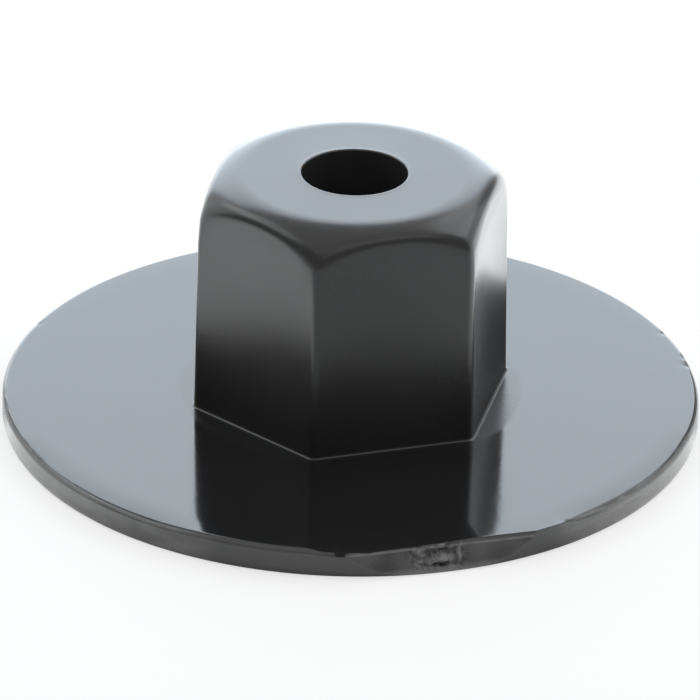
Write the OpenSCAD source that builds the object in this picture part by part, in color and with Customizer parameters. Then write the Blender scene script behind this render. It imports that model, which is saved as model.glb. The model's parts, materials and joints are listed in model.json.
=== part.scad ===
// Moulded flange nut for a coarse-threaded stud
// A drafted hexagon stands on a wide, thin washer flange, all in one piece.
// Millimetres, +Z up. The origin is on the axis of the hole, at the underside of the flange.

/* [Hexagon] */
// Width across the flats at the foot of the hexagon
hex_af = 10; // [8:0.1:13]
// Height of the flat top above the underside of the flange
nut_h = 9.4; // [7:0.05:14]
// Draft of each flat, in degrees
hex_draft = 0.8; // [0.2:0.1:1.5]
// Radius along the upright edges of the hexagon
hex_edge_r = 0.35; // [0.15:0.05:0.6]
// Radius of the rounded shoulder at the top
shoulder_r = 2; // [1.5:0.05:2.5]
// How far the flat top ends inside the flats
shoulder_in = 1.15; // [0.9:0.05:1.5]
// Size of the small bevel where the hexagon meets the flange
foot_bevel = 0.08; // [0.05:0.01:0.3]

/* [Flange] */
// Diameter of the washer flange
flange_d = 24.5; // [18:0.1:34]
// Thickness of the flange
flange_t = 1.05; // [0.8:0.05:2]
// Radius of the lower edge of the rim
rim_low_r = 0.25; // [0.1:0.05:0.35]
// Radius of the upper edge of the rim
rim_top_r = 0.2; // [0.1:0.05:0.3]

/* [Stud hole] */
// Core diameter of the coarse thread
core_d = 3.7; // [3:0.05:4.6]
// Diameter of the lead-in at the underside
lead_d = 5.4; // [4.8:0.1:6.4]
// Width of the raised lip round the upper end of the hole
lip_w = 0.16; // [0.1:0.02:0.4]
// Height of that lip
lip_h = 0.05; // [0.03:0.01:0.2]

/* [Gate] */
// Depth of the flat trimmed off the rim, measured at the upper face
gate_cut = 0.6; // [0.4:0.05:0.8]
// Lean of that flat from upright, in degrees
gate_lean = 27; // [15:1:30]
// Width of the broken gate stub left on the flat
gate_w = 1.9; // [0.8:0.1:2.4]
// How far the stub stands out of the flat
gate_proud = 0.12; // [0.05:0.01:0.2]

/* [Hidden] */
$fn = 96;

sides = 6;
half_side = 180 / sides;
flange_r = flange_d / 2;
core_r = core_d / 2;
hex_corner_r = hex_af / 2 / cos(half_side);
top_flat_r = hex_af / 2 - shoulder_in;
lead_h = (lead_d - core_d) / 2;
lip_tip = lip_w / 3;
stub_low = flange_t * 0.35;
overrun = 2;

// An upright edge leans in a little more than the flats that meet there
edge_lean = atan(tan(hex_draft) / cos(half_side));
// Half the turn between two neighbouring flats, seen along that edge
edge_half = acos(sqrt(pow(cos(hex_draft) * cos(half_side), 2) + pow(sin(hex_draft), 2)));
// The rounding meets each flat at this slight angle, in a faint line
edge_meet = 12;

// Half-space inside one flat: its face passes through the flat's foot and leans by the given angle
module inside_flat(foot_r, foot_z, lean) {
    translate([foot_r, 0, foot_z])
        rotate([0, -lean, 0])
            translate([-4 * hex_af, -2 * hex_af, -2 * nut_h])
                cube([4 * hex_af, 4 * hex_af, 5 * nut_h]);
}

// Six leaning flats, with corners on the X axis
module hex_space(foot_r, foot_z, lean) {
    intersection_for(i = [0 : sides - 1])
        rotate([0, 0, (i + 0.5) * 360 / sides])
            inside_flat(foot_r, foot_z, lean);
}

// Waste outside the rounding of one upright edge, at the corner on +X
module edge_waste() {
    axis_in = hex_edge_r * cos(edge_meet) / cos(edge_half);
    translate([hex_corner_r, 0, flange_t])
        rotate([0, -edge_lean, 0])
            difference() {
                translate([hex_edge_r * cos(edge_meet) * cos(edge_half) - axis_in, -hex_edge_r, -flange_t])
                    cube([overrun, 2 * hex_edge_r, nut_h + overrun]);
                translate([-axis_in, 0, -flange_t - overrun])
                    cylinder(r = hex_edge_r, h = nut_h + 3 * overrun);
            }
}

// Turned outline of the hexagon: flat top, then one round shoulder that the flats cut into arcs
module shoulder_profile() {
    square([top_flat_r, nut_h]);
    square([top_flat_r + shoulder_r, nut_h - shoulder_r]);
    translate([top_flat_r, nut_h - shoulder_r])
        circle(r = shoulder_r);
}

module hexagon() {
    difference() {
        intersection() {
            rotate_extrude()
                shoulder_profile();
            hex_space(hex_af / 2, flange_t, hex_draft);
        }
        for (i = [0 : sides - 1])
            rotate([0, 0, i * 360 / sides])
                edge_waste();
    }
}

// Small 45 degree bevel in the corner between the hexagon and the flange
module foot() {
    foot_r = hex_af / 2 + foot_bevel;
    round_r = hex_corner_r - hex_edge_r * (1 / cos(half_side) - 1) + foot_bevel;
    intersection() {
        hex_space(foot_r, flange_t, 45);
        translate([0, 0, flange_t - foot_bevel])
            cylinder(r1 = round_r + foot_bevel, r2 = round_r - 2 * foot_bevel, h = 3 * foot_bevel);
    }
}

// Half section of the flange, round at both edges of the rim
module flange_profile() {
    square([flange_r - rim_low_r, flange_t - rim_top_r]);
    translate([0, rim_low_r])
        square([flange_r, flange_t - rim_low_r - rim_top_r]);
    translate([0, rim_low_r])
        square([flange_r - rim_top_r, flange_t - rim_low_r]);
    translate([flange_r - rim_low_r, rim_low_r])
        circle(r = rim_low_r);
    translate([flange_r - rim_top_r, flange_t - rim_top_r])
        circle(r = rim_top_r);
}

// What the trimming of the gate took off the rim, all but the broken stub in the middle
module gate_waste() {
    translate([0, gate_cut - flange_r, flange_t])
        rotate([-gate_lean, 0, 0])
            difference() {
                translate([-flange_r, -flange_r, -flange_t - overrun])
                    cube([flange_d, flange_r, flange_t + 2 * overrun]);
                translate([-gate_w / 2, -gate_proud, stub_low - flange_t])
                    cube([gate_w, 2 * gate_proud, flange_t + 2 * overrun]);
            }
}

module flange() {
    difference() {
        rotate_extrude()
            flange_profile();
        gate_waste();
    }
}

// Low lip round the upper end of the hole
module lip() {
    translate([0, 0, nut_h])
        cylinder(r1 = core_r + lip_w, r2 = core_r + lip_tip, h = lip_h);
}

// Core of the thread, right through, with a conical lead-in at the underside
module stud_hole() {
    translate([0, 0, -overrun])
        cylinder(r = core_r, h = nut_h + 2 * overrun);
    translate([0, 0, -lead_h])
        cylinder(r1 = core_r + 2 * lead_h, r2 = core_r, h = 2 * lead_h);
}

module flange_nut() {
    color("#1b1c1e")
        difference() {
            union() {
                flange();
                foot();
                hexagon();
                lip();
            }
            stud_hole();
        }
}

flange_nut();
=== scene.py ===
import json
import math
import bpy
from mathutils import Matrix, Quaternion, Vector, noise


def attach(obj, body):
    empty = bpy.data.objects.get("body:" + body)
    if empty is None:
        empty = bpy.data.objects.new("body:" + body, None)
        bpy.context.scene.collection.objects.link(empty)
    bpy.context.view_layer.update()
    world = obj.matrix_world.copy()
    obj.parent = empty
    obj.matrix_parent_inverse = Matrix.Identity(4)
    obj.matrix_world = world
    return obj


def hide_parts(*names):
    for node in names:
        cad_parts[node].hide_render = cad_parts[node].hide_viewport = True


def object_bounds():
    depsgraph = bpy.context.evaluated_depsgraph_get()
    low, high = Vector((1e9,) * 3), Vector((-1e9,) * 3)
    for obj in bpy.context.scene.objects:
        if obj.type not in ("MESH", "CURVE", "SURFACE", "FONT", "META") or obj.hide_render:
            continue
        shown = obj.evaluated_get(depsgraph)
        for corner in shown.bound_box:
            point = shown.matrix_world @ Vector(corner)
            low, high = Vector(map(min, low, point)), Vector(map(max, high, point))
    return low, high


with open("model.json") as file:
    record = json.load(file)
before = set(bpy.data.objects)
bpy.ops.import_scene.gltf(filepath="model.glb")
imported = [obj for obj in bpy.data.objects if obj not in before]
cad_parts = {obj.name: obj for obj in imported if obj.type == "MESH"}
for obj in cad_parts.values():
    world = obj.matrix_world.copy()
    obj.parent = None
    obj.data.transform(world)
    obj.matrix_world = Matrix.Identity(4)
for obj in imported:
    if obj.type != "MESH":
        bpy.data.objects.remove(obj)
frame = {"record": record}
cad_low, cad_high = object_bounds()


# Hexagon and flange.
# The nut is one injection moulding in black plastic, hexagon and washer flange in the same shot.
# The hexagon tapers so that it leaves the mould, and a round shoulder ends its six faces in arcs.
mm = 0.001
hair = 0.01 * mm
flange_r = cad_high.x
flange_t = 1.05 * mm
above_flange = 0.99 * flange_t
rim_low_r = 0.25 * mm
rim_top_r = 0.2 * mm
rim_steps = 8
rim_ring_heights = (0.36, 0.48, 0.6, 0.72, 0.8)
flange_ring_insets = (0.26, 0.34, 0.44, 0.56, 0.7, 0.9, 1.2, 1.4, 1.62)
ring_gap = 0.05 * mm
nut_h = 9.4 * mm
half_side = math.pi / 6
side = math.pi / 3
hex_half = 5.0 * mm
hex_draft = math.radians(0.8)
hex_edge_r = 0.35 * mm
foot_r = 0.07 * mm
foot_steps = 5
face_sink = 0.1 * mm
sink_top = nut_h - 1.15 * mm
face_low = flange_t + foot_r + ring_gap
face_rows = 12
shoulder_r = 2.0 * mm
shoulder_z = nut_h - shoulder_r
shoulder_from = 24
shoulder_rows = 32
top_flat_r = 3.85 * mm
top_ring_gap = 0.12 * mm
wall_r = top_flat_r + shoulder_r
hexagon_reach = 1.2 * wall_r
arc_soft = 0.35 * mm
core_r = frame["record"]["mounts"][0]["dims"]["r_mm"] * mm
lip_foot_r = core_r + 0.16 * mm
lip_foot_rise = 0.002 * mm
lip_ring_gap = 0.08 * mm
lip_tip_r = core_r + 0.05 * mm
lip_tip_w = 0.03 * mm
lip_round_r = 0.05 * mm
lip_steps = 4
lip_h = 0.01 * mm
plain_top = nut_h - 0.1 * mm
thread_pitch = 1.6 * mm
thread_depth = 0.6 * mm
thread_flank = math.radians(30)
root_share = 0.9
rows_per_pitch = 12
thread_row = thread_pitch / rows_per_pitch
thread_top = 54 * thread_row
thread_fade = 0.8 * mm
thread_rows = 48
row_wrap = 0.004
mouth_r = 2.7 * mm
mouth_ring_gap = 0.06 * mm
lead_h = mouth_r - core_r
body_columns = 480
corner_crowding = 0.66


def rounding(r, z, radius, start, end, steps):
    """Points of a round stretch of the half section, between two angles in degrees."""
    angles = [math.radians(start + (end - start) * i / steps) for i in range(steps + 1)]
    return [(r + radius * math.cos(a), z + radius * math.sin(a)) for a in angles]


def turn(name, section, columns):
    """Draws a half section point by point and spins it round the nut's axis."""
    same_spot = 0.001 * mm
    bpy.ops.object.select_all(action="DESELECT")
    bpy.ops.mesh.primitive_plane_add(size=mm)
    piece = bpy.context.object
    piece.name = name
    piece.data.name = name
    bpy.ops.object.mode_set(mode="EDIT")
    bpy.ops.mesh.select_all(action="SELECT")
    bpy.ops.mesh.merge(type="CENTER")
    bpy.ops.transform.translate(value=(section[0][0], 0, section[0][1]))
    for (r0, z0), (r1, z1) in zip(section, section[1:] + section[:1]):
        step = (r1 - r0, 0, z1 - z0)
        bpy.ops.mesh.extrude_vertices_move(TRANSFORM_OT_translate={"value": step})
    bpy.ops.mesh.select_all(action="SELECT")
    bpy.ops.mesh.remove_doubles(threshold=same_spot)
    bpy.ops.mesh.spin(steps=columns, angle=math.tau, center=(0, 0, 0), axis=(0, 0, 1))
    bpy.ops.mesh.select_all(action="SELECT")
    bpy.ops.mesh.remove_doubles(threshold=same_spot)
    bpy.ops.mesh.normals_make_consistent(inside=False)
    bpy.ops.object.mode_set(mode="OBJECT")
    return piece


def off_edge(angle):
    """Angle from the nearest upright edge of the hexagon, which has an edge on the X axis."""
    return abs((angle + half_side) % side - half_side)


def hexagon_r(angle, half, edge):
    """Distance from the axis to a hexagon with rounded edges."""
    off = off_edge(angle)
    middle = (half - edge) / math.cos(half_side)
    if off < math.atan2(edge / 2, middle + edge * math.cos(half_side)):
        return middle * math.cos(off) + math.sqrt(edge ** 2 - (middle * math.sin(off)) ** 2)
    return half / math.cos(half_side - off)


def softer_min(a, b, width):
    """The lesser of two radii, with the crossing eased over a width."""
    h = max(width - abs(a - b), 0) / width
    return min(a, b) - h * h * width / 4


def share(value, start, end):
    """How far a value has come from a start to an end, held between 0 and 1."""
    return min(max((value - start) / (end - start), 0), 1)


def sink(angle, z):
    """How far a face of the hexagon has drawn in as the thick wall behind it cooled."""
    across_face = math.tan(half_side - off_edge(angle)) / math.tan(half_side)
    up = share(z, flange_t, sink_top)
    return face_sink * max(1 - across_face ** 2, 0) * 4 * up * (1 - up)


half_section = [
    (mouth_r + mouth_ring_gap, 0),
    (flange_r - rim_low_r - ring_gap, 0),
    *rounding(flange_r - rim_low_r, rim_low_r, rim_low_r, -90, 0, rim_steps),
    *[(flange_r, z * mm) for z in rim_ring_heights],
    *rounding(flange_r - rim_top_r, flange_t - rim_top_r, rim_top_r, 0, 90, rim_steps),
    *[(flange_r - inset * mm, flange_t) for inset in flange_ring_insets],
    (wall_r + foot_r + ring_gap, flange_t),
    *rounding(wall_r + foot_r, flange_t + foot_r, foot_r, 270, 180, foot_steps),
    *[(wall_r, face_low + (shoulder_z - face_low) * i / face_rows) for i in range(face_rows + 1)],
    *rounding(top_flat_r, shoulder_z, shoulder_r, shoulder_from, 90, shoulder_rows),
    (top_flat_r - top_ring_gap, nut_h),
    (lip_foot_r + lip_ring_gap, nut_h),
    (lip_foot_r, nut_h + lip_foot_rise),
    (lip_tip_r + lip_tip_w, nut_h + lip_h),
    *rounding(lip_tip_r, nut_h + lip_h - lip_round_r, lip_round_r, 90, 180, lip_steps),
    (core_r, plain_top),
    *[(core_r, thread_top - thread_row * i) for i in range(thread_rows)],
    (core_r, lead_h),
    (mouth_r, 0),
]
nut = turn("moulded_flange_nut", half_section, body_columns)
for point in nut.data.vertices:
    x, y, z = point.co
    r = math.hypot(x, y)
    angle = math.atan2(y, x)
    if r < hexagon_reach:
        angle -= corner_crowding / 6 * math.sin(6 * angle)
    if z > above_flange and hexagon_reach > r > lip_foot_r + hair:
        half = hex_half - math.tan(hex_draft) * (z - flange_t) - sink(angle, z)
        if z < shoulder_z + hair:
            outside = r - wall_r
            r = hexagon_r(angle, half + outside, hex_edge_r + outside)
        else:
            r = softer_min(r, hexagon_r(angle, half, hex_edge_r), arc_soft)
    elif r < core_r + hair and lead_h + hair < z < thread_top + hair:
        # The rows of points climb with the thread, and start one row lower again after each row
        rise = (angle / math.tau * rows_per_pitch + row_wrap) % 1 - row_wrap
        z += rise * thread_row
        along = (z / thread_pitch - angle / math.tau) % 1
        groove = thread_depth - abs(along - 0.5) * thread_pitch / math.tan(thread_flank)
        fade = share(z, thread_top, thread_top - thread_fade)
        fade *= share(z, lead_h, lead_h + thread_fade)
        groove = max(min(groove, root_share * thread_depth), 0)
        r = max(r, core_r + groove * fade * fade * (3 - 2 * fade))
    point.co = (r * math.cos(angle), r * math.sin(angle), z)


# Rim.
# The edge of the flange is rounded by the mould. Other parts have knocked it since, so the upper
# edge has gone dull in thin broken lines at both sides, and the band below it is rubbed paler.
# Part of that paleness, strongest in the stretches at both sides, is a painted reflection of the
# white floor, which the rounded rim catches at a grazing angle.
edge_fall = 0.015 * mm
edge_fall_w = 1.1 * mm
edge_fall_z = 0.3 * mm
# Stretches that wore down: bearings in degrees from and to, and depth in millimetres
worn_falls = [
    (184, 228, 0.07),
    (288, 328, 0.06),
]
fall_ease = 8
# The whole band is paler, partly from wear and partly as a painted reflection of the floor.
band_wear_and_painted_reflection = 0.3
band_insets = (0.16 * mm, 0.04 * mm)
# Rubbed stretches, also a painted floor reflection: bearings from and to, and how pale
rubs_and_painted_reflection = [
    (150, 180, 0.15),
    (180, 232, 0.3),
    (287, 332, 0.35),
    (340, 14, 0.25),
]
pale_stretch_ease = 6
scuff_scale = 1300
# Dull lines along the upper edge: bearings from and to, and how dull
worn_lines = [
    (162, 174, 0.4),
    (184, 193, 1.0),
    (193, 208, 0.5),
    (296, 312, 1.0),
    (312, 320, 0.4),
    (320, 329, 1.0),
    (66, 100, 0.25),
]
line_ease = 1.5
line_inset = 0.1 * mm
line_w = 0.045 * mm
line_scale = 1500
line_fine_scale = 4000
line_breaks = (-0.25, 0.2)
# Dents: bearing, then inset and size in millimetres
dents = [
    (6, 0.14, 0.16),
    (353.5, 0.14, 0.18),
    (356.5, 0.1, 0.12),
    (140, 0.12, 0.16),
]
knock_z = 0.7 * flange_t
knock_depth = 0.03 * mm
flange_top = 1.01 * flange_t


def within(turned, start, end, ease):
    """Share of a stretch of the rim at a bearing in degrees, eased at both ends."""
    span = (end - start) % 360
    into = (turned - start) % 360
    return share(min(into, span - into), 0, ease) if into < span else 0


def along_stretches(turned, stretches, ease):
    """Amount at a bearing from a list of stretches, each with how much it holds."""
    return sum(much * within(turned, start, end, ease) for start, end, much in stretches)


for name in ("pale", "dull"):
    nut.data.attributes.new(name, "FLOAT", "POINT")
pale = nut.data.attributes["pale"].data
dull = nut.data.attributes["dull"].data
for point in nut.data.vertices:
    x, y, z = point.co
    inset = flange_r - math.hypot(x, y)
    if inset > edge_fall_w or not hair < z < flange_top:
        continue
    spot = Vector((x, y, 0))
    turned = math.degrees(math.atan2(y, x)) % 360
    # Paler band and stretches: wear, and in part a painted reflection of the white floor.
    rub_and_painted_reflection = along_stretches(turned, rubs_and_painted_reflection, pale_stretch_ease)
    rub_and_painted_reflection *= 0.6 + 0.8 * (0.5 + noise.noise(Vector((x, y, 3 * z)) * scuff_scale))
    pale[point.index].value = share(inset, *band_insets) * (band_wear_and_painted_reflection + rub_and_painted_reflection)
    broken = noise.noise(spot * line_scale) + 0.5 * noise.noise(spot * line_fine_scale)
    knock = along_stretches(turned, worn_lines, line_ease) * share(broken, *line_breaks)
    knock *= math.exp(-(((inset - line_inset) / line_w) ** 2))
    for bearing, dent_inset, size in dents:
        bearing = math.radians(bearing)
        dent = Vector((math.cos(bearing), math.sin(bearing), 0)) * (flange_r - dent_inset * mm)
        knock += math.exp(-(((spot - dent).length / (size * mm)) ** 2))
    knock = min(knock, 1) if z > knock_z else 0
    dull[point.index].value = knock
    fall = edge_fall + mm * along_stretches(turned, worn_falls, fall_ease)
    fall *= (1 - inset / edge_fall_w) ** 2 * share(z, edge_fall_z, flange_t)
    point.co.z = z - fall - knock_depth * knock


# Gate.
# The plastic entered the mould at the front of the rim. The runner was sheared off there, which
# leaves a narrow upright strip, a leaning flat below it and a torn patch where it broke away.
gate_bearing = math.radians(268.2)
gate_top_y = flange_r - 0.46 * mm
gate_line_y = flange_r - 0.47 * mm
gate_foot_y = flange_r - 0.125 * mm
gate_line_z = 0.85 * mm
gate_foot_z = 0.08 * mm
gate_reach = (-4.9 * mm, 3.7 * mm)
gate_reach_in = 1.25 * mm
gate_reach_z = 1.2 * flange_t
gate_front = -0.7 * flange_r
gate_end_x = (2.4 * mm, 3.0 * mm)
gate_end_w = 0.12 * mm
# Bearings in degrees between which the upper edge is sharp, or chipped down: from, full, full, to
sharp_bearings = (246, 251, 289, 294)
chip_bearings = (246.5, 251, 264, 275)
chip_drop = 0.2 * mm
chip_w = 1.6 * mm
chip_curve = 1.3
chip_low_z = 0.45 * mm
flat_pale = 0.46
flat_scale = 1500
flat_dull = 0.2
strip_dull = 0.5
# The sheared face is painted paler towards its foot, a painted reflection of the floor under it.
foot_painted_reflection = 0.5
foot_painted_reflection_z = (0.3 * mm, 0.1 * mm)
burr_w = 0.03 * mm
burr_proud = 0.015 * mm
burr_pale = 0.8
burr_scale = 2500
burr_breaks = (-0.7, 0.2)
burr_start_x = (-3.8 * mm, -2.9 * mm)
torn_x = (-1.6 * mm, 0.5 * mm)
torn_low_z = 0.12 * mm
torn_ease_x = (0.2 * mm, 0.15 * mm)
torn_ease_z = (0.14 * mm, 0.24 * mm)
torn_grain = 0.05 * mm
torn_scale = 5000
torn_pale = 0.6
torn_pale_scale = 7000
torn_dull = 0.3
# Lumps and pits of the torn patch in millimetres: place along and up, half width, half height,
# how far proud; then how much paler, below zero for the pits, which are painted darker as painted
# shade
torn_lumps = [
    (-1.12, 0.74, 0.22, 0.10, 0.05, 0.5),
    (-0.87, 0.62, 0.16, 0.16, -0.09, -0.4),
    (-0.37, 0.93, 0.11, 0.09, 0.09, 1.0),
    (-0.30, 0.70, 0.40, 0.07, -0.09, -0.5),
    (-0.40, 0.47, 0.32, 0.10, 0.09, 0.7),
    (-0.40, 0.27, 0.34, 0.07, -0.11, -0.8),
    (0.23, 0.57, 0.06, 0.15, 0.08, 0.9),
]


def pick(piece, test):
    """Selects the points of a piece whose place passes a test, and stays in edit mode."""
    bpy.ops.object.mode_set(mode="EDIT")
    bpy.ops.mesh.select_mode(type="VERT")
    bpy.ops.mesh.select_all(action="DESELECT")
    bpy.ops.object.mode_set(mode="OBJECT")
    for point in piece.data.vertices:
        point.select = test(point.co)
    bpy.ops.object.mode_set(mode="EDIT")


def gate_y(z):
    """Distance of the sheared face from the nut's axis at a height."""
    if z > gate_line_z:
        up = (z - gate_line_z) / (flange_t - gate_line_z)
        return gate_line_y + (gate_top_y - gate_line_y) * up
    down = (gate_line_z - z) / (gate_line_z - gate_foot_z)
    return gate_line_y + (gate_foot_y - gate_line_y) * down


def near_gate(p):
    """Whether a point lies on the stretch of the rim that the shears reached."""
    in_front = gate_reach[0] < p.x < gate_reach[1] and p.y < 0 and p.z < gate_reach_z
    return in_front and math.hypot(p.x, p.y) > flange_r - gate_reach_in


def on_gate(p):
    """Whether a point lies on the sheared face."""
    from_axis = p.x * math.cos(gate_bearing) + p.y * math.sin(gate_bearing)
    return p.z < flange_top and abs(from_axis - gate_y(p.z)) < 0.004 * mm


def on_torn_patch(p):
    """Whether a point lies on the part of the sheared face that tore."""
    return on_gate(p) and torn_x[0] < p.x < torn_x[1] and p.z > torn_low_z


def between_bearings(turned, bearings):
    """Share of a stretch that rises and falls between four bearings in degrees."""
    start, full_from, full_to, end = bearings
    return share(turned, start, full_from) * share(turned, end, full_to)


bpy.ops.object.select_all(action="DESELECT")
nut.select_set(True)
bpy.context.view_layer.objects.active = nut
pick(nut, near_gate)
bpy.ops.mesh.subdivide(number_cuts=2)
bpy.ops.object.mode_set(mode="OBJECT")
for point in nut.data.vertices:
    x, y, z = point.co
    r = math.hypot(x, y)
    if z > gate_reach_z or y > gate_front or r < flange_r - chip_w:
        continue
    angle = math.atan2(y, x)
    turned = math.degrees(angle) % 360
    if flange_t - rim_top_r < z and r > flange_r - 1.05 * rim_top_r:
        r += (flange_r - r) * between_bearings(turned, sharp_bearings)
    chip = between_bearings(turned, chip_bearings)
    chip *= (1 - (flange_r - r) / chip_w) ** chip_curve * share(z, chip_low_z, flange_t)
    z -= chip_drop * chip
    flat_r = gate_y(z) / math.cos(angle - gate_bearing)
    if r > flat_r:
        end_x = gate_end_x[0] + (gate_end_x[1] - gate_end_x[0]) * z / flange_t
        r -= (r - flat_r) * share(x, end_x + gate_end_w, end_x)
    point.co = (r * math.cos(angle), r * math.sin(angle), z)
bpy.ops.object.mode_set(mode="EDIT")
bpy.ops.mesh.select_all(action="SELECT")
bpy.ops.mesh.remove_doubles(threshold=0.002 * mm)
pick(nut, on_torn_patch)
bpy.ops.mesh.subdivide(number_cuts=1)
bpy.ops.object.mode_set(mode="OBJECT")
pale = nut.data.attributes["pale"].data
dull = nut.data.attributes["dull"].data
for point in nut.data.vertices:
    p = point.co
    if not on_gate(p):
        continue
    spot = Vector(p)
    if p.z > gate_line_z:
        shade = flat_pale * share(p.z, flange_t, gate_line_z)
        dullness = strip_dull
    else:
        shade = flat_pale * (0.8 + 0.5 * noise.noise(spot * flat_scale))
        dullness = flat_dull
    burr = math.exp(-(((p.z - gate_line_z) / burr_w) ** 2)) * share(p.x, *burr_start_x)
    burr *= share(noise.noise(Vector((p.x, 0, 0)) * burr_scale), *burr_breaks)
    # Paler along the burr, and painted paler at the foot as a painted reflection of the floor.
    shade += burr_pale * burr + foot_painted_reflection * share(p.z, *foot_painted_reflection_z)
    proud = burr_proud * burr
    torn = min(
        share(p.x, torn_x[0], torn_x[0] + torn_ease_x[0]),
        share(p.x, torn_x[1], torn_x[1] - torn_ease_x[1]),
    )
    torn *= share(p.z, *torn_ease_z)
    if torn > 0:
        torn_proud = torn_grain * noise.fractal(spot * torn_scale, 0.9, 2.1, 4)
        for lump_x, lump_z, half_w, half_h, lump_proud, light in torn_lumps:
            off = Vector(((p.x / mm - lump_x) / half_w, (p.z / mm - lump_z) / half_h))
            lump = math.exp(-off.length_squared)
            torn_proud += lump_proud * mm * lump
            # Lumps come out paler; the pits are painted darker, painted shade in the hollows.
            shade += torn * light * lump
        proud += torn * torn_proud
        shade += torn * torn_pale * noise.fractal(spot * torn_pale_scale, 0.8, 2.1, 3)
        dullness += torn_dull * torn
    dull[point.index].value = dullness
    pale[point.index].value = share(shade, 0, 1)
    point.co.y = p.y - proud
bpy.ops.object.mode_set(mode="EDIT")
bpy.ops.mesh.select_all(action="SELECT")
bpy.ops.mesh.remove_doubles(threshold=0.001 * mm)
bpy.ops.mesh.normals_make_consistent(inside=False)
bpy.ops.object.mode_set(mode="OBJECT")
bpy.ops.object.shade_smooth_by_angle(angle=math.radians(35))
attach(nut, "root")
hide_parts("flange_nut")


# Black plastic.
# The moulding is filled nylon, black right through, with the gloss of a polished mould. It has
# slight flow waves and a fine grain, and it is paler and duller where it was knocked or torn.
# Its pale colour also carries painted light: a painted reflection of the floor on the rim band
# and at the foot of the gate, painted shade in the torn pits, and a painted sheen in the bore.
class Link:
    """A socket of a node tree, so that shader maths reads as plain expressions."""

    def __init__(self, socket):
        self.socket = socket

    def node(self, kind, settings, sockets, output=0):
        """Adds a node of a kind, with its settings and with the values or links of its sockets."""
        tree = self.socket.id_data
        made = tree.nodes.new(kind)
        for name, value in settings.items():
            setattr(made, name, value)
        for name, value in sockets.items():
            if isinstance(value, Link):
                tree.links.new(value.socket, made.inputs[name])
            else:
                made.inputs[name].default_value = value
        return Link(made.outputs[output])

    def maths(self, operation, first, second):
        return self.node("ShaderNodeMath", {"operation": operation}, {0: first, 1: second})

    def __add__(self, other):
        return self.maths("ADD", self, other)

    def __radd__(self, other):
        return self.maths("ADD", other, self)

    def __sub__(self, other):
        return self.maths("SUBTRACT", self, other)

    def __mul__(self, other):
        return self.maths("MULTIPLY", self, other)

    def vector(self, operation, sockets, output=0):
        """A vector operation on links or values."""
        return self.node("ShaderNodeVectorMath", {"operation": operation}, sockets, output)

    def blend(self, factor, first, second):
        """A colour between two colours."""
        sockets = {"Factor": factor, "A": first, "B": second}
        return self.node("ShaderNodeMix", {"data_type": "RGBA"}, sockets, 2)

    def noise(self, size, detail=2.0):
        """Noise with lumps of about a size, read at this place."""
        sockets = {"Vector": self, "Scale": 1 / size, "Detail": detail}
        return self.node("ShaderNodeTexNoise", {}, sockets)

    def between(self, low, high, to_low=0.0, to_high=1.0):
        """This value, stretched from one range to another and held there."""
        ends = {"From Min": low, "From Max": high, "To Min": to_low, "To Max": to_high}
        return self.node("ShaderNodeMapRange", {}, {"Value": self, **ends})


plastic_dark = (0.0075, 0.0075, 0.008, 1)
plastic_light = (0.0105, 0.0105, 0.011, 1)
plastic_pale_wear_and_painted_light = (0.16, 0.16, 0.155, 1)
plastic_ior = 1.58
# How much paler the bore is painted, as a painted sheen.
bore_painted_sheen = 0.1
flow_size = 4 * mm
flow_rough = (0.08, 0.12)
grain_size = 0.12 * mm
grain_rough = 0.04
hexagon_rough = 0.15
pale_rough = 0.25
dull_rough = 0.45
wave_size = 3 * mm
ripple_size = 0.4 * mm
wave_depth = 0.001 * mm
plastic = bpy.data.materials.new("black_plastic")
plastic.use_nodes = True
plastic_shader = plastic.node_tree.nodes["Principled BSDF"]
place = Link(plastic.node_tree.nodes.new("ShaderNodeTexCoord").outputs["Object"])
flow = place.noise(flow_size)
grain = place.noise(grain_size, 3.0)
black = place.blend(flow, plastic_dark, plastic_light)
flat_place = place.vector("MULTIPLY", {0: place, 1: (1, 1, 0)})
radius = place.vector("LENGTH", {0: flat_place}, "Value")
# The bore wall nearest the axis, the thread's crests and the lip's inner edge are painted paler, a
# painted sheen for light caught inside the bore.
bore_sheen_share = radius.between(lip_tip_r, lip_foot_r, bore_painted_sheen, 0)
on_hexagon = radius.between(wall_r + 0.1 * mm, wall_r + 0.3 * mm, 1, 0)
pale_wear_and_painted_light_mask = place.node("ShaderNodeAttribute", {"attribute_name": "pale"}, {}, "Fac")
dulling = place.node("ShaderNodeAttribute", {"attribute_name": "dull"}, {}, "Fac")
# The pale colour mixes in wear and painted light alike.
colour = place.blend(pale_wear_and_painted_light_mask + bore_sheen_share, black, plastic_pale_wear_and_painted_light)
rough = flow.between(0.3, 0.7, *flow_rough) + (grain - 0.5) * grain_rough
rough = rough + on_hexagon * hexagon_rough + pale_wear_and_painted_light_mask * pale_rough + dulling * dull_rough
ripple = place.noise(wave_size, 1.0) * 4 + place.noise(ripple_size, 3.0) * 1.6 + grain * 0.5
waves = place.node(
    "ShaderNodeBump", {}, {"Height": ripple, "Strength": 1.0, "Distance": wave_depth}
)
plastic.node_tree.links.new(colour.socket, plastic_shader.inputs["Base Color"])
plastic.node_tree.links.new(rough.socket, plastic_shader.inputs["Roughness"])
plastic.node_tree.links.new(waves.socket, plastic_shader.inputs["Normal"])
plastic_shader.inputs["IOR"].default_value = plastic_ior
nut.data.materials.clear()
nut.data.materials.append(plastic)


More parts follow.
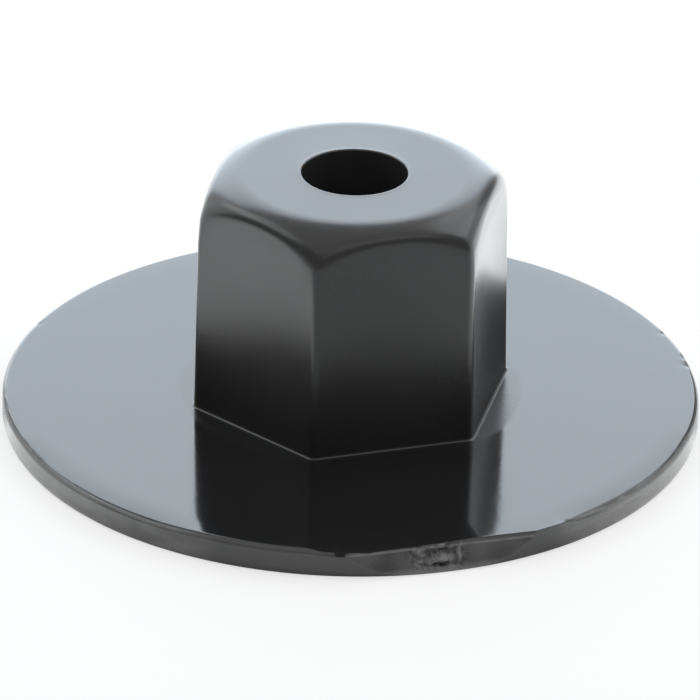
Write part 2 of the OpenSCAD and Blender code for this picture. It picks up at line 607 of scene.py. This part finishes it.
# Studio floor.
# The nut stands on a plain white sweep, big enough to fill the view from any side. In the
# plastic's reflections alone the sheet shows a painted glow, with painted shadow in front of the
# nut, under the rim and far to the left, and painted bright patches at both sides.
floor_size = 4.0
floor_white = (0.88, 0.88, 0.88, 1)
floor_glow = 0.7
floor_painted_glow = (0.0, 1.2)
painted_glow_depths = (-9 * mm, 9 * mm)
under_rim_painted_shadow = 0.35
left_painted_shade = 0.5
left_places = (-14 * mm, -6 * mm)
side_painted_glow = 0.9
side_places = (7.5 * mm, 10.5 * mm)
side_back_depths = (-1.8 * mm, -0.6 * mm)
side_front_depths = (-16 * mm, -11 * mm)
camera_turn = math.radians(-17.284)
away = Vector((-math.sin(camera_turn), math.cos(camera_turn), 0))
across = Vector((math.cos(camera_turn), math.sin(camera_turn), 0))
bpy.ops.object.select_all(action="DESELECT")
bpy.ops.mesh.primitive_plane_add(size=floor_size)
floor = bpy.context.object
floor.name = "studio_floor"
paper = bpy.data.materials.new("white_paper")
paper.use_nodes = True
paper_tree = paper.node_tree
paper_tree.nodes.clear()
ray = paper_tree.nodes.new("ShaderNodeLightPath")
seen = Link(ray.outputs["Is Camera Ray"])
mirrored = Link(ray.outputs["Is Glossy Ray"]) + Link(ray.outputs["Is Transmission Ray"])
matt = seen.node("ShaderNodeBsdfDiffuse", {}, {"Color": floor_white})
paper_place = Link(paper_tree.nodes.new("ShaderNodeTexCoord").outputs["Object"])
depth = seen.vector("DOT_PRODUCT", {0: paper_place, 1: away}, "Value")
aside = seen.vector("DOT_PRODUCT", {0: paper_place, 1: across}, "Value")
out_from_nut = seen.vector("LENGTH", {0: paper_place}, "Value")
# Painted glow seen only in reflections: brighter towards the back, painted shadow under the rim
# and far to the left, and painted bright patches at both sides.
painted_glow_level = depth.between(*painted_glow_depths, *floor_painted_glow)
painted_glow_level = painted_glow_level * out_from_nut.between(flange_r, 1.2 * flange_r, under_rim_painted_shadow, 1)
painted_glow_level = painted_glow_level * aside.between(*left_places, left_painted_shade, 1)
side_painted_patch = (aside * aside).between(side_places[0] ** 2, side_places[1] ** 2)
side_painted_patch = side_painted_patch * depth.between(*side_back_depths, side_painted_glow, 0)
side_painted_patch = side_painted_patch * depth.between(*side_front_depths)
painted_glow_colour = mirrored * (painted_glow_level + side_painted_patch)
painted_glow_shader = seen.node("ShaderNodeEmission", {}, {"Color": painted_glow_colour, "Strength": 1.0})
lit = seen.node("ShaderNodeAddShader", {}, {0: matt, 1: painted_glow_shader})
glow = seen.node("ShaderNodeEmission", {}, {"Color": (1, 1, 1, 1), "Strength": 1.0})
paper_mix = seen.node("ShaderNodeMixShader", {}, {0: seen * floor_glow, 1: lit, 2: glow})
paper_out = paper_tree.nodes.new("ShaderNodeOutputMaterial")
paper_tree.links.new(paper_mix.socket, paper_out.inputs["Surface"])
floor.data.materials.append(paper)


# Studio light.
# One wide soft panel stands behind the nut, weaker ones stand all round it and hang overhead, and
# white walls give the rest.
scene = bpy.context.scene
scene.view_settings.view_transform = "Standard"
panel_far = 90 * mm
white = (1, 1, 1)
left_tint = (0.95, 1.0, 1.0)
right_tint = (0.97, 1.0, 1.02)
back_tint = (0.89, 1.0, 1.1)
room_light = 0.4


def soft_panel(name, radiance, width, tall, far, turn_deg, high, tint):
    """An even upright panel light, turned round the nut's axis, that faces it."""
    lamp = bpy.data.lights.new(name, "AREA")
    lamp.shape = "RECTANGLE"
    lamp.size = width
    lamp.size_y = tall
    lamp.energy = radiance * math.pi * width * tall
    lamp.color = tint
    panel = bpy.data.objects.new(name, lamp)
    around = math.radians(turn_deg)
    panel.location = (far * math.cos(around), far * math.sin(around), high)
    panel.rotation_euler = (math.pi / 2, 0, around + math.pi / 2)
    panel.visible_camera = False
    scene.collection.objects.link(panel)
    return panel


soft_panel("back_panel", 3.0, 100 * mm, 97 * mm, panel_far, 79, 49.5 * mm, back_tint)
soft_panel("left_back_panel", 1.0, 70 * mm, 95 * mm, panel_far, 135, 53 * mm, left_tint)
soft_panel("left_panel", 1.3, 130 * mm, 86 * mm, panel_far, 150, 113 * mm, left_tint)
soft_panel("right_low_panel", 1.0, 100 * mm, 90 * mm, panel_far, 0, 46 * mm, right_tint)
soft_panel("right_panel", 1.6, 130 * mm, 86 * mm, panel_far, 12, 113 * mm, right_tint)
soft_panel("front_panel", 0.5, 120 * mm, 85 * mm, panel_far, 280, 105 * mm, white)
top_panel = soft_panel("top_panel", 0.4, 300 * mm, 300 * mm, 0, 0, 200 * mm, white)
top_panel.rotation_euler = (0, 0, 0)
room = bpy.data.worlds.new("white_room")
scene.world = room
room.use_nodes = True
room_tree = room.node_tree
room_ray = room_tree.nodes.new("ShaderNodeLightPath")
room_seen = Link(room_ray.outputs["Is Camera Ray"])
room_strength = room_light + room_seen * (1.0 - room_light)
room_tree.nodes["Background"].inputs["Color"].default_value = (1, 1, 1, 1)
room_tree.links.new(room_strength.socket, room_tree.nodes["Background"].inputs["Strength"])


# Camera.
# A long lens looks down at the nut from the front, a little to the left of the gate, and far
# enough off that the hexagon hardly narrows towards its back.
camera_rise = math.radians(27.183)
camera_far = 254.44 * mm
camera_roll = math.radians(1.032)
camera_aim = Vector((-0.0474, 0.0147, 2.503)) * mm
lens = bpy.data.cameras.new("camera")
lens.sensor_width = 36
lens.lens = 371.09
lens.clip_start = 0.01
lens.clip_end = 10
camera = bpy.data.objects.new("camera", lens)
camera_height = Vector((0, 0, math.sin(camera_rise)))
camera.location = camera_far * (camera_height - away * math.cos(camera_rise))
facing = (camera_aim - camera.location).to_track_quat("-Z", "Y")
camera.rotation_mode = "QUATERNION"
camera.rotation_quaternion = facing @ Quaternion((0, 0, 1), camera_roll)
scene.collection.objects.link(camera)
scene.camera = camera
